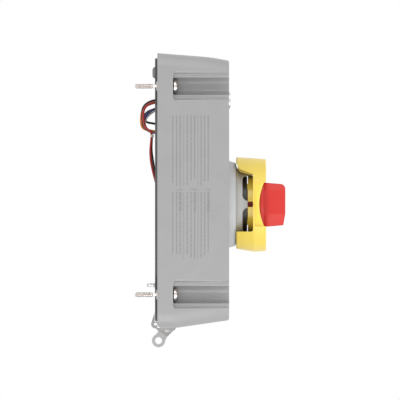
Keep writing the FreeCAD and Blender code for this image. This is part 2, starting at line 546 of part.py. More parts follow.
def detent_springs():
    """Two formed leaf springs whose round noses sit in the star wheel's notches."""
    front, rear = INDEX_FRONT - 2.0, DECK_FRONT + 0.7
    t, nose_r, leaf_x, nose_x = 0.7, 2.9, 17.4, 15.45
    nose = rod(nose_r, (nose_x, 0, rear), (0, 0, 1), front - rear)
    nose = nose.cut(rod(nose_r - t, (nose_x, 0, rear - 1), (0, 0, 1), 20))
    nose = nose.common(block(0, leaf_x, -10, 10, rear, front))
    reach = math.sqrt((nose_r - t) ** 2 - (leaf_x - nose_x) ** 2)
    spring = nose
    for sy in (-1, 1):
        y0, y1 = sorted((sy * reach, sy * 20.0))
        leaf = block(leaf_x - 0.01, leaf_x + t, y0, y1, rear, front)
        hook = block(leaf_x, 23.2, *sorted((sy * (20.0 - t), sy * 20.0)), rear, front)
        spring = spring.fuse([leaf, hook])
    spring = spring.removeSplitter()
    return [on_dial(spring), on_dial(spring.mirror(V(), AX))]


def deck_y(i):
    """Dial height of deck i's front face."""
    return DECK_FRONT - i * DECK_T


def pole_deck(i):
    front, rear = deck_y(i), deck_y(i + 1)
    body = stack_block(front, rear)
    body = body.cut(rod(19.6, (0, 0, rear), (0, 0, 1), DECK_T - 2))
    body = body.cut(rod(SHAFT_R + 0.6, (0, 0, rear), (0, 0, 1), DECK_T + 1))
    for sy in (-1, 1):
        channel = block(-5.2, 5.2, *sorted((sy * 12, sy * 25)), rear, front - 2)
        pocket = block(-POCKET_HALF, POCKET_HALF, *sorted((sy * 23.8, sy * 40)), rear, front - 1.6)
        body = body.cut(channel).cut(pocket)
    for sx in (-1, 1):
        body = body.cut(block(*sorted((sx * 27.8, sx * 40)), -22, 22, rear + 2.5, front - 2.5))
    return on_dial(drilled(body, TIE_R + 0.1))


def fixed_contacts(i):
    """Upper and lower jaw contact of one pole, each ending in a tapped terminal block."""
    mid = deck_y(i) - 7.0
    made = []
    for sy in (-1, 1):
        leaves = [block(-4.6, 4.6, 13.0, 24.2, mid + a, mid + b) for a, b in ((-2.2, -1.1), (1.1, 2.2))]
        bridge = block(-4.6, 4.6, 20.5, 24.2, mid - 2.2, mid + 2.2)
        terminal = block(-TERMINAL_HALF, TERMINAL_HALF, 24.0, TERMINAL_TOP, mid - 4.4, mid + 4.4)
        jaw = bridge.fuse(leaves + [terminal]).removeSplitter()
        jaw = jaw.cut(rod(2.05, (0, 24.2, mid), (0, 1, 0), 9))
        made.append(on_dial(jaw if sy > 0 else jaw.mirror(V(), AY)))
    return made


def terminal_screws():
    made = []
    for i in range(DECKS):
        mid = deck_y(i) - 7.0
        for sy in (-1, 1):
            screw = pan_screw(3.7, 2.4, 2.0, 5.0)
            made.append(on_dial(stand(screw, (0, sy * 29.4, mid), (0, sy, 0))))
    return made


def terminal_clamps():
    made = []
    for i in range(DECKS):
        mid = deck_y(i) - 7.0
        for sy in (-1, 1):
            y0, y1 = sorted((sy * 28.2, sy * 29.4))
            clamp = block(-5.0, 5.0, y0, y1, mid - 4.2, mid + 4.2)
            lips = [block(*sorted((sx * 4.0, sx * 5.0)), *sorted((sy * 27.4, sy * 28.4)), mid - 4.2, mid + 4.2)
                    for sx in (-1, 1)]
            clamp = clamp.fuse(lips).removeSplitter()
            made.append(on_dial(clamp.cut(rod(2.15, (0, -40, mid), (0, 1, 0), 80))))
    return made


def rotor_drum(i):
    """Two halves that trap the moving contact between them on the square shaft."""
    mid = deck_y(i) - 7.0
    half = SHAFT_SQ / 2 + 0.03
    made = []
    for z0, z1 in ((mid + 1.0, deck_y(i) - 2.3), (deck_y(i + 1) + 0.2, mid - 1.0)):
        body = rod(DRUM_R, (0, 0, z0), (0, 0, 1), z1 - z0)
        made.append(on_dial(body.cut(block(-half, half, -half, half, z0 - 1, z1 + 1))))
    return made


def moving_contact(i):
    """Contact bridge: a disc on the shaft with two blades, upright when the switch is on."""
    mid = deck_y(i) - 7.0
    half = SHAFT_SQ / 2 + 0.03
    body = rod(DRUM_R - 1.5, (0, 0, mid - 1), (0, 0, 1), 2).fuse(
        slab([(-BLADE_HALF, -BLADE_R), (BLADE_HALF, -BLADE_R), (BLADE_HALF, BLADE_R), (-BLADE_HALF, BLADE_R)],
             1.5, mid - 1, mid + 1)).removeSplitter()
    return on_dial(body.cut(block(-half, half, -half, half, mid - 3, mid + 3)))


def aux_deck():
    """Rear deck: room for the cam, a guide for the plunger and three screw terminals."""
    front, rear = AUX_FRONT, END_FRONT
    body = stack_block(front, rear)
    body = body.cut(rod(12.6, (0, 0, rear), (0, 0, 1), AUX_T - 1.5))
    body = body.cut(rod(SHAFT_R + 0.6, (0, 0, rear), (0, 0, 1), 20))
    body = body.cut(block(11, 26.5, -3.1, 3.1, rear, front - 1.5))
    for x, y in AUX_TERMINALS:
        body = body.cut(rod(1.6, (x, y, rear - 1), (0, 0, 1), 7))
    return on_dial(drilled(body, TIE_R + 0.1))


def end_plate():
    body = stack_block(END_FRONT, STACK_REAR)
    body = body.cut(rod(SHAFT_R + 0.4, (0, 0, -5), (0, 0, 1), 40))
    for x, y in AUX_TERMINALS:
        body = body.cut(rod(1.6, (x, y, -5), (0, 0, 1), 40))
    return on_dial(drilled(body, TIE_R + 0.1))


def cam_r(angle):
    """Aux cam radius against angle in degrees, measured the way the knob turns to off."""
    return CAM_LOW + CAM_LIFT - CAM_LIFT * angle / 90.0


def aux_cam():
    """Spiral cam: its radius falls evenly by the plunger's travel over the quarter turn."""
    front, rear = AUX_FRONT - 1.9, END_FRONT + 0.4
    step = 7.5
    pts = []
    for k in range(48):
        turn = k * step - step
        if turn <= 90 + step:
            r = cam_r(turn)
        else:
            r = cam_r(90 + step) + (cam_r(-step) - cam_r(90 + step)) * (turn - 90 - step) / (360 - 90 - 2 * step)
        a = math.radians(-turn)
        pts.append(V(r * math.cos(a), r * math.sin(a), rear))
    curve = Part.BSplineCurve()
    curve.interpolate(pts, PeriodicFlag=True)
    face = Part.Face(Part.Wire([curve.toShape()]))
    half = SHAFT_SQ / 2 + 0.03
    return on_dial(face.extrude(AZ * (front - rear)).cut(block(-half, half, -half, half, rear - 1, front + 1)))


def aux_plunger():
    """Plunger pushed out by the cam; its rear peg centres the return spring."""
    front, rear = AUX_FRONT - 2.2, END_FRONT + 0.7
    tip = CAM_LOW + CAM_LIFT + 0.3
    body = block(tip + 1.5, 20.0, -2.9, 2.9, rear, front)
    nose = Part.makeCylinder(2.9, front - rear, V(tip + 2.9, 0, rear), AZ).common(block(tip, tip + 2.9, -2.9, 2.9, rear, front))
    peg = rod(0.9, (20.0, 0, (front + rear) / 2), (1, 0, 0), 2.5)
    return on_dial(body.fuse([nose, peg]).removeSplitter())


def coil(r, wire_r, length, turns):
    helix = Part.makeHelix(length / turns, length, r)
    section = Part.Wire(Part.Circle(V(r, 0, 0), AY, wire_r).toShape())
    return Part.Wire(helix.Edges).makePipeShell([section], True, True)


def aux_spring():
    mid = (AUX_FRONT - 2.2 + END_FRONT + 0.7) / 2
    spring = coil(1.55, 0.25, 5.6, 4)
    return on_dial(stand(spring, (20.45, 0, mid), (1, 0, 0)))


def aux_screws():
    return [on_dial(stand(pan_screw(2.7, 1.5, 1.5, 7.5), (x, y, STACK_REAR - WASHER_T), (0, 0, -1)))
            for x, y in AUX_TERMINALS]


def wire_lugs():
    """Ring lugs under the aux screws, each with a crimp barrel pointing up."""
    made = []
    for x, y in AUX_TERMINALS:
        ring = washer(2.9, 1.6, WASHER_T).translated(V(x, y, STACK_REAR - WASHER_T))
        tongue = block(x - 1.4, x + 1.4, y + 2.5, y + 5.5, STACK_REAR - WASHER_T, STACK_REAR)
        barrel = rod(1.6, (x, y + 5.0, STACK_REAR - 1.6), (0, 1, 0), 5.0)
        made.append(on_dial(ring.fuse([tongue, barrel]).removeSplitter().cut(rod(1.6, (x, y, -20), (0, 0, 1), 40))))
    return made


def tie_bolts():
    return [on_dial(stand(pan_screw(3.2, 2.2, TIE_R, STACK_FRONT - STACK_REAR), (x, y, STACK_REAR), (0, 0, -1)))
            for x, y in tie_points()]


# ---- indicator ------------------------------------------------------------------------------------------------
def bezel():
    ring = turned([(5.1, COVER_DEPTH + BEZEL_PROUD - 0.4), (BEZEL_R - 1.2, COVER_DEPTH + BEZEL_PROUD),
                   (BEZEL_R, COVER_DEPTH + 0.5), (BEZEL_R, COVER_DEPTH), (6.1, COVER_DEPTH), (6.1, 59.6), (5.1, 59.6)])
    return stand(ring, (0, 0, LAMP_Z), (0, -1, 0))


def lens():
    dome = turned([(0, 61.0), (5.0, 61.0), (5.0, COVER_DEPTH + 0.9), (3.6, COVER_DEPTH + 1.25),
                   (1.8, COVER_DEPTH + 1.4), (0, COVER_DEPTH + 1.4)])
    return stand(dome, (0, 0, LAMP_Z), (0, -1, 0))


def bezel_nut():
    return stand(hex_nut(16.0, 3.0, 6.15), (0, -COVER_DEPTH + WALL, LAMP_Z), (0, 1, 0))


def board():
    y0, y1 = BOARD_Y, BOARD_Y + BOARD_T
    body = block(-BOARD_X, BOARD_X, y0, y1, LAMP_Z - BOARD_Z, LAMP_Z + BOARD_Z)
    for sx in (-1, 1):
        for sz in (-1, 1):
            body = body.cut(rod(1.4, (sx * 16, y0 - 1, LAMP_Z + sz * 11.5), (0, 1, 0), 5))
    return body


def board_screws():
    return [stand(pan_screw(2.4, 1.6, 1.25, 7.0), (sx * 16, BOARD_Y + BOARD_T, LAMP_Z + sz * 11.5), (0, 1, 0))
            for sx in (-1, 1) for sz in (-1, 1)]


def leds():
    body = turned([(0, 0), (2.4, 0), (2.4, 0.8), (1.9, 0.8), (1.9, 1.6), (1.2, 2.2), (0, 2.4)])
    return [stand(body, (x, BOARD_Y, LAMP_Z + z), (0, -1, 0)) for x, z in ((0, 2.4), (-2.5, -2.2), (2.5, -2.2))]


WIRE_ORDER = ("red", "black", "orange", "blue", "white", "earth")
HEADER_PITCH, HEADER_Z, HEADER_DEPTH = 3.0, 84.0, 7.0
HEADER_FACE = BOARD_Y + BOARD_T + HEADER_DEPTH


def header_x(i):
    return (i - (len(WIRE_ORDER) - 1) / 2) * HEADER_PITCH


def header():
    half = len(WIRE_ORDER) * HEADER_PITCH / 2 + 1.0
    body = block(-half, half, BOARD_Y + BOARD_T, HEADER_FACE, HEADER_Z - 2.6, HEADER_Z + 2.6)
    return rounded(body, 0.6, lambda m, e: abs(m.y - HEADER_FACE) < 0.01)


# ---- wires ----------------------------------------------------------------------------------------------------
LUG_TOP = DIAL_Z + AUX_TERMINALS[0][1] + 10.0
LUG_Y = -(STACK_REAR - 1.6)
FERRULE_Z = DIAL_Z + FERRULE_TOP
TAG_X, TAG_Y, TAG_Z = PLATE_SCREW_X, -(INDEX_FRONT - 1.7), DIAL_Z + PLATE_SCREW_Z + 11.0

HEADER_END = {name: (header_x(i), HEADER_FACE, HEADER_Z) for i, name in enumerate(WIRE_ORDER)}
WIRES = {
    "red": [HEADER_END["red"], (header_x(0), -34.0, HEADER_Z), (-8.0, -16.0, 86.4), (-8.4, 2.0, 87.2), (-9.0, 13.2, 81.6),
            (-9.6, 13.8, 70.0), (-10.4, 12.4, 61.2), (-12.0, 5.4, 57.2), (-14.0, 5.8, 49.6), (-16.6, 7.0, 39.4),
            (-18.8, 6.4, 28.0), (-19.8, 3.0, 13.0), (-19.6, LUG_Y, -4.6), (-19.6, LUG_Y, LUG_TOP)],
    "black": [HEADER_END["black"], (header_x(1), -34.0, HEADER_Z), (-5.0, -16.0, 87.8), (-5.4, 2.0, 89.2),
              (-6.0, 14.4, 83.0), (-6.6, 15.0, 70.4), (-7.6, 13.4, 60.6), (-9.2, 5.0, 56.6), (-10.6, 5.4, 49.4),
              (-11.8, 5.8, 39.0), (-12.4, 4.0, 27.4), (-12.6, 1.8, 13.0), (-12.4, LUG_Y, -4.4), (-12.4, LUG_Y, LUG_TOP)],
    "orange": [HEADER_END["orange"], (header_x(2), -34.0, HEADER_Z), (-2.2, -16.0, 85.4), (-2.6, 2.0, 86.4),
               (-3.0, 14.2, 81.0), (-3.4, 16.4, 69.6), (-3.8, 15.0, 60.0), (-3.0, 6.0, 58.2), (-1.0, -3.0, 56.6),
               (1.4, -15.0, 54.6), (4.4, -27.0, 51.0), (6.6, -38.0, 44.2), (FERRULE_X, -44.0, 32.6),
               (FERRULE_X, -44.0, FERRULE_Z)],
    "blue": [HEADER_END["blue"], (header_x(3), -35.0, HEADER_Z), (0.8, -18.0, 84.0), (0.4, 0.0, 81.4), (0.0, 10.6, 74.6),
             (-0.2, 14.2, 66.0), (-0.2, 11.0, 58.4), (1.0, 2.0, 56.0), (2.4, -8.0, 52.4), (4.2, -17.6, 47.6),
             (6.0, -26.6, 41.0), (FERRULE_X, -32.0, 30.8), (FERRULE_X, -32.0, FERRULE_Z)],
    "white": [HEADER_END["white"], (header_x(4), -35.0, HEADER_Z), (3.8, -18.0, 82.4), (3.4, 0.0, 79.4), (3.0, 9.6, 73.0),
              (2.8, 13.0, 65.4), (3.0, 9.6, 58.6), (4.0, 2.0, 57.0), (5.2, -6.0, 51.6), (6.6, -14.6, 42.0),
              (FERRULE_X, -20.0, 30.6), (FERRULE_X, -20.0, FERRULE_Z)],
    "earth": [HEADER_END["earth"], (header_x(5), -35.0, HEADER_Z), (6.8, -18.0, 82.6), (6.4, 1.6, 80.2),
              (6.2, 12.4, 75.6), (6.4, 12.6, 66.6), (7.6, 2.6, 65.2), (11.0, -9.0, 62.0), (16.4, -21.0, 56.6),
              (22.6, -32.0, 50.4), (28.4, -42.0, 43.8), (32.6, -51.6, 36.6), (TAG_X, TAG_Y, 27.4), (TAG_X, TAG_Y, TAG_Z)],
}


def wire_path(points):
    """Straight runs joined by tangent arcs, each as large as its two runs allow."""
    pts = [V(*p) for p in points]
    edges, at, least = [], pts[0], 1e9
    for i in range(1, len(pts) - 1):
        a, p, b = pts[i - 1], pts[i], pts[i + 1]
        to_a, to_b = a - p, b - p
        shorter = min(to_a.Length, to_b.Length)
        u, w = to_a.normalize(), to_b.normalize()
        back = 0.45 * shorter
        half = u.getAngle(w) / 2
        r = back * math.tan(half)
        least = min(least, r)
        start, end = p + u * back, p + w * back
        middle = p + (u + w).normalize() * (r / math.sin(half) - r)
        edges += [Part.makeLine(at, start), Part.Arc(start, middle, end).toShape()]
        at = end
    edges.append(Part.makeLine(at, pts[-1]))
    return Part.Wire(edges), least


def wire(name, points):
    path, least = wire_path(points)
    first = (V(*points[1]) - V(*points[0])).normalize()
    section = Part.Wire(Part.Circle(V(*points[0]), first, WIRE_R).toShape())
    tube = path.makePipeShell([section], True, False)
    expected = math.pi * WIRE_R ** 2 * path.Length
    print(f"wire {name}: length {path.Length:.1f}, least radius {least:.1f}, "
          f"volume share {tube.Volume / expected:.4f}, valid {tube.isValid()}")
    return tube


# ---- the model --------------------------------------------------------------------------------------------------
def main():
    os.makedirs(OUT, exist_ok=True)
    save("cover_shell", cover_shell())
    save("rim_gasket", rim_gasket())
    save("cover_screws", *four(cover_screw()))
    seal = stand(washer(SEAL_R, SCREW_R + 0.3, SEAL_T), (SCREW_X, -SEAT_DEPTH, SCREW_Z), (0, -1, 0))
    save("cover_screw_seals", *four(seal))
    retainer = stand(washer(4.6, SCREW_NECK_R + 0.1, 0.9), (SCREW_X, 0.0, SCREW_Z), (0, 1, 0))
    save("screw_retainers", *four(retainer))
    save("padlock_hasp", hasp())
    save("hasp_screws", *[stand(pan_screw(3.4, 2.0, 1.95, 9.0), (sx * 9.5, -9.0, COVER_BOTTOM - HASP_T), (0, 0, -1))
                          for sx in (-1, 1)])
    save("bonding_stud", stand(turned([(0, -12), (1.7, -12), (1.7, 9.4), (1.2, 10), (0, 10)]), (STUD_X, 0, STUD_Z), (0, 1, 0)))
    save("bonding_nuts", *[stand(hex_nut(6.4, 2.4, 1.75), (STUD_X, y, STUD_Z), (0, 1, 0)) for y in (-3.0, 0.2)])

    save("handle_hub", handle_hub())
    save("shaft_insert", shaft_insert())
    save("shaft_seal", shaft_seal())
    save("escutcheon", escutcheon())
    long_screw = pan_screw(3.8, 2.8, 1.85, 29.0)
    save("handle_screws", *[on_dial(stand(long_screw, (sx * HANDLE_SCREW_AT, sy * HANDLE_SCREW_AT,
                                                       COVER_DEPTH - WALL), (0, 0, -1)))
                            for sx in (-1, 1) for sy in (-1, 1)])
    save("knob", knob())
    save("drive_shaft", shaft())
    save("shaft_circlip", circlip())
    save("knob_roll_pin", roll_pin())

    save("mount_plate", mount_plate())
    save("mount_plate_screws", *[on_dial(stand(pan_screw(3.8, 2.4, 2.0, 9.8), (sx * PLATE_SCREW_X, sy * PLATE_SCREW_Z,
                                                                              INDEX_FRONT - WASHER_T), (0, 0, -1)))
                                 for sx in (-1, 1) for sy in (-1, 1)])
    save("plate_washers", *plate_washers())
    save("plate_tag", plate_tag())
    save("index_housing", index_housing())
    save("star_wheel", star_wheel())
    save("detent_springs", *detent_springs())
    for i in range(DECKS):
        save(f"pole_deck_{i + 1}", pole_deck(i))
    save("fixed_contacts", *[jaw for i in range(DECKS) for jaw in fixed_contacts(i)])
    save("rotor_drums", *[half for i in range(DECKS) for half in rotor_drum(i)])
    save("moving_contacts", *[moving_contact(i) for i in range(DECKS)])
    save("terminal_screws", *terminal_screws())
    save("terminal_clamps", *terminal_clamps())
    save("wire_ferrules", *ferrules())
    save("aux_deck", aux_deck())
    save("aux_cam", aux_cam())
    save("aux_plunger", aux_plunger())
    save("aux_spring", aux_spring())
    save("aux_terminal_screws", *aux_screws())
    save("wire_lugs", *wire_lugs())
    save("end_plate", end_plate())
    save("tie_bolts", *tie_bolts())

    save("indicator_bezel", bezel())
    save("indicator_lens", lens())
    save("indicator_nut", bezel_nut())
    save("indicator_board", board())
    save("board_screws", *board_screws())
    save("indicator_leds", *leds())
    save("wire_header", header())
    for name, points in WIRES.items():
        save(f"wire_{name}", wire(name, points))


main()
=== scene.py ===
"""Looks of the rotary isolator switch: finishes, wires, screw threads, moulded legends and small details."""

import json
import math
import random

import bmesh
import bpy
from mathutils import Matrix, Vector


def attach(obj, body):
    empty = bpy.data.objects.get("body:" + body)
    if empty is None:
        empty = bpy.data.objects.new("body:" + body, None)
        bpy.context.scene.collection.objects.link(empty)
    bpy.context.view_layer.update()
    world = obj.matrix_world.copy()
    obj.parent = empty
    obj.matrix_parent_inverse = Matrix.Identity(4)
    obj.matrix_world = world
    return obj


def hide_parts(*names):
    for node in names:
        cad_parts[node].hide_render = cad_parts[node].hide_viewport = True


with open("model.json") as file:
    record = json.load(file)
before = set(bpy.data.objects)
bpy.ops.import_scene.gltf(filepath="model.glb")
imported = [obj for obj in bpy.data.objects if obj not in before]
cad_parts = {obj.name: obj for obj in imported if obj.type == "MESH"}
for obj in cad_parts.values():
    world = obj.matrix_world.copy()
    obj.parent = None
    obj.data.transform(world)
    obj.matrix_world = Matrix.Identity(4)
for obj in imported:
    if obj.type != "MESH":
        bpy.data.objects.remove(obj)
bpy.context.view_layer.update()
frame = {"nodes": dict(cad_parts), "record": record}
MM = 0.001
NODES = frame["nodes"]


# ---- camera, light and floor ---------------------------------------------------------------------
def camera():
    data = bpy.data.cameras.new("camera")
    data.type = "ORTHO"
    data.ortho_scale = 0.390
    data.clip_end = 10.0
    cam = bpy.data.objects.new("camera", data)
    bpy.context.scene.collection.objects.link(cam)
    cam.location = (-1.2, -0.0416, -0.0093)
    cam.rotation_euler = (math.radians(90), 0, math.radians(-90))
    bpy.context.scene.camera = cam


def area_light(name, place, target, size, power, colour=(1, 1, 1)):
    data = bpy.data.lights.new(name, "AREA")
    data.shape = "RECTANGLE"
    data.size, data.size_y = size
    data.energy = power
    data.color = colour
    lamp = bpy.data.objects.new(name, data)
    bpy.context.scene.collection.objects.link(lamp)
    lamp.location = place
    lamp.rotation_euler = (Vector(target) - Vector(place)).to_track_quat("-Z", "Y").to_euler()


def studio():
    world = bpy.data.worlds.new("studio")
    world.use_nodes = True
    world.node_tree.nodes["Background"].inputs["Color"].default_value = (1, 1, 1, 1)
    world.node_tree.nodes["Background"].inputs["Strength"].default_value = 1.0
    bpy.context.scene.world = world
    bpy.context.scene.view_settings.view_transform = "Standard"
    area_light("key", (-1.1, -0.9, 0.5), (0, -0.04, 0), (0.9, 0.9), 0.6)
    area_light("low_front", (-0.6, -0.9, -0.55), (0, -0.05, 0), (0.8, 0.4), 2.8)
    area_light("strip_above", (-0.62, -0.05, 0.86), (0, -0.04, 0), (0.12, 1.0), 2.4)
    area_light("strip_below", (-0.75, -0.05, -0.62), (0, -0.04, 0), (0.12, 1.0), 3.0)
    mesh = bpy.data.meshes.new("floor")
    z = -1.0
    mesh.from_pydata([(-3, -3, z), (3, -3, z), (3, 3, z), (-3, 3, z)], [], [(0, 1, 2, 3)])
    floor = bpy.data.objects.new("floor", mesh)
    bpy.context.scene.collection.objects.link(floor)
    mesh.materials.append(finish("floor_paint", (0.86, 0.86, 0.86), 0.6, grain=(300, 0.02), bump=(300, 0.05)))


# ---- finishes ------------------------------------------------------------------------------------
def finish(name, colour, rough, metal=0.0, grain=(900, 0.06), bump=(2500, 0.15), rough_spread=0.08, coat=0.0,
           edge_tone=None, **sockets):
    """A procedural finish: colour and gloss drift with one noise, and a finer one raises the surface."""
    m = bpy.data.materials.new(name)
    m.use_nodes = True
    tree = m.node_tree
    shader = tree.nodes["Principled BSDF"]
    new, link = tree.nodes.new, tree.links.new
    place = new("ShaderNodeTexCoord")

    def noise(scale, detail=3.0):
        n = new("ShaderNodeTexNoise")
        n.inputs["Scale"].default_value = scale
        n.inputs["Detail"].default_value = detail
        link(place.outputs["Object"], n.inputs["Vector"])
        return n.outputs["Fac"]

    def ramp(fac, low, high):
        r = new("ShaderNodeMapRange")
        link(fac, r.inputs["Value"])
        r.inputs["From Min"].default_value, r.inputs["From Max"].default_value = 0.3, 0.7
        r.inputs["To Min"].default_value, r.inputs["To Max"].default_value = low, high
        return r.outputs["Result"]

    spots, broad = noise(grain[0]), noise(45, 2.0)
    mix = new("ShaderNodeMix")
    mix.data_type = "RGBA"
    tones = [[min(1.0, c * k) for c in colour] + [1] for k in (1 - grain[1], 1 + grain[1])]
    mix.inputs["A"].default_value, mix.inputs["B"].default_value = tones
    add = new("ShaderNodeMath")
    add.operation = "ADD"
    add.use_clamp = True
    link(ramp(spots, 0.0, 0.6), add.inputs[0])
    link(ramp(broad, 0.0, 0.4), add.inputs[1])
    link(add.outputs[0], mix.inputs["Factor"])
    top = mix.outputs["Result"]
    # Sharp convex edges, found by pointiness, are mixed toward the given edge colour; on the hasp this makes
    # them lighter.
    if edge_tone:
        edge = new("ShaderNodeNewGeometry")
        sharp = new("ShaderNodeMapRange")
        link(edge.outputs["Pointiness"], sharp.inputs["Value"])
        sharp.inputs["From Min"].default_value, sharp.inputs["From Max"].default_value = 0.52, 0.62
        sharp.inputs["To Max"].default_value = 0.6
        edge_toned = new("ShaderNodeMix")
        edge_toned.data_type = "RGBA"
        edge_toned.inputs["B"].default_value = (*edge_tone, 1)
        link(sharp.outputs["Result"], edge_toned.inputs["Factor"])
        link(top, edge_toned.inputs["A"])
        top = edge_toned.outputs["Result"]
    link(top, shader.inputs["Base Color"])
    smoothest, roughest = max(0.03, rough - rough_spread), min(1.0, rough + rough_spread)
    link(ramp(broad, smoothest, roughest), shader.inputs["Roughness"])
    shader.inputs["Metallic"].default_value = metal
    shader.inputs["Coat Weight"].default_value = coat
    for socket, value in sockets.items():
        shader.inputs[socket.replace("_", " ")].default_value = value
    rise = new("ShaderNodeBump")
    rise.inputs["Strength"].default_value = bump[1]
    rise.inputs["Distance"].default_value = 0.0002
    link(noise(bump[0], 4.0), rise.inputs["Height"])
    link(rise.outputs["Normal"], shader.inputs["Normal"])
    return m


def finishes():
    steel = dict(metal=1.0, grain=(700, 0.10), bump=(1800, 0.10), rough_spread=0.06)
    made = {
        "cover_plastic": finish("cover_plastic", (0.290, 0.290, 0.290), 0.36, grain=(1400, 0.035),
                                bump=(2600, 0.16)),
        # The hub grey is lighter than the cover grey: partly its own tone, partly painted light that lifts
        # the hub out of the cap's shade and stands for the front light it catches.
        "hub_plastic": finish("hub_plastic", (0.47, 0.48, 0.495), 0.40, grain=(1400, 0.03),
                              bump=(2200, 0.12)),
        "gasket_rubber": finish("gasket_rubber", (0.10, 0.10, 0.10), 0.85, grain=(1600, 0.25),
                                bump=(1500, 0.5)),
        "seal_rubber": finish("seal_rubber", (0.018, 0.018, 0.018), 0.6, bump=(1800, 0.3)),
        "screw_steel": finish("screw_steel", (0.60, 0.55, 0.53), 0.32, **steel),
        # The hasp is the same grey as the cover; its darker colour is painted shade for the shadow it sits in
        # behind the cover.
        "hasp_metal": finish("hasp_metal", (0.18, 0.18, 0.18), 0.42, metal=0.3, grain=(1200, 0.08),
                             bump=(1600, 0.2), edge_tone=(0.5, 0.5, 0.5)),
        "black_plastic": finish("black_plastic", (0.015, 0.015, 0.016), 0.38, bump=(2400, 0.2)),
        "yellow_plastic": finish("yellow_plastic", (0.80, 0.60, 0.085), 0.33, grain=(1200, 0.03),
                                 bump=(1800, 0.10), coat=0.15, Coat_Roughness=0.25),
        "red_plastic": finish("red_plastic", (0.56, 0.015, 0.008), 0.40, grain=(1200, 0.04),
                              bump=(1800, 0.10), coat=0.05, Coat_Roughness=0.25),
        "bezel_metal": finish("bezel_metal", (0.70, 0.70, 0.71), 0.16, metal=1.0, grain=(800, 0.04),
                              bump=(900, 0.03)),
        "lens_plastic": finish("lens_plastic", (0.80, 0.84, 0.82), 0.14, grain=(600, 0.02), bump=(900, 0.02),
                               Transmission_Weight=0.45, Subsurface_Weight=0.2),
        "shaft_steel": finish("shaft_steel", (0.42, 0.42, 0.43), 0.26, **steel),
        "zinc_steel": finish("zinc_steel", (0.55, 0.55, 0.52), 0.34, **steel),
        "deck_plastic": finish("deck_plastic", (0.065, 0.065, 0.07), 0.45, grain=(900, 0.12),
                               bump=(1800, 0.25)),
        "cam_plastic": finish("cam_plastic", (0.70, 0.68, 0.62), 0.42, Subsurface_Weight=0.08),
        "contact_metal": finish("contact_metal", (0.78, 0.52, 0.27), 0.28, **steel),
        "board_laminate": finish("board_laminate", (0.015, 0.11, 0.035), 0.30, grain=(2000, 0.15),
                                 bump=(2600, 0.12), coat=0.4, Coat_Roughness=0.1),
        "led_plastic": finish("led_plastic", (0.85, 0.85, 0.72), 0.12, Transmission_Weight=0.5),
    }
    made["legend_ink"] = finish("legend_ink", (0.225, 0.225, 0.225), 0.55, grain=(900, 0.1), bump=(2600, 0.1))
    made["mark_white"] = finish("mark_white", (0.85, 0.85, 0.83), 0.4, grain=(900, 0.03), bump=(2400, 0.08))
    made["mark_black"] = finish("mark_black", (0.02, 0.02, 0.02), 0.4, grain=(900, 0.1), bump=(2400, 0.08))
    made["solder"] = finish("solder", (0.62, 0.62, 0.60), 0.25, **steel)
    for name, colour in (("red", (0.38, 0.022, 0.014)), ("black", (0.016, 0.016, 0.017)),
                         ("orange", (0.72, 0.20, 0.03)), ("blue", (0.035, 0.05, 0.20)),
                         ("white", (0.72, 0.71, 0.69))):
        made[name + "_sleeve"] = finish(name + "_sleeve", colour, 0.36, grain=(900, 0.08), bump=(700, 0.08))
    return made


# ---- shared mesh helpers -------------------------------------------------------------------------
def piece(name, verts, faces, slot, body="cover", smooth=None):
    mesh = bpy.data.meshes.new(name)
    mesh.from_pydata([Vector(v) * MM for v in verts], [], faces)
    mesh.materials.append(FINISH[slot])
    bm = bmesh.new()
    bm.from_mesh(mesh)
    bmesh.ops.recalc_face_normals(bm, faces=bm.faces)
    bm.to_mesh(mesh)
    bm.free()
    obj = bpy.data.objects.new(name, mesh)
    bpy.context.scene.collection.objects.link(obj)
    if smooth:
        mesh.shade_smooth()
        mesh.set_sharp_from_angle(angle=math.radians(smooth))
    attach(obj, body)
    return obj


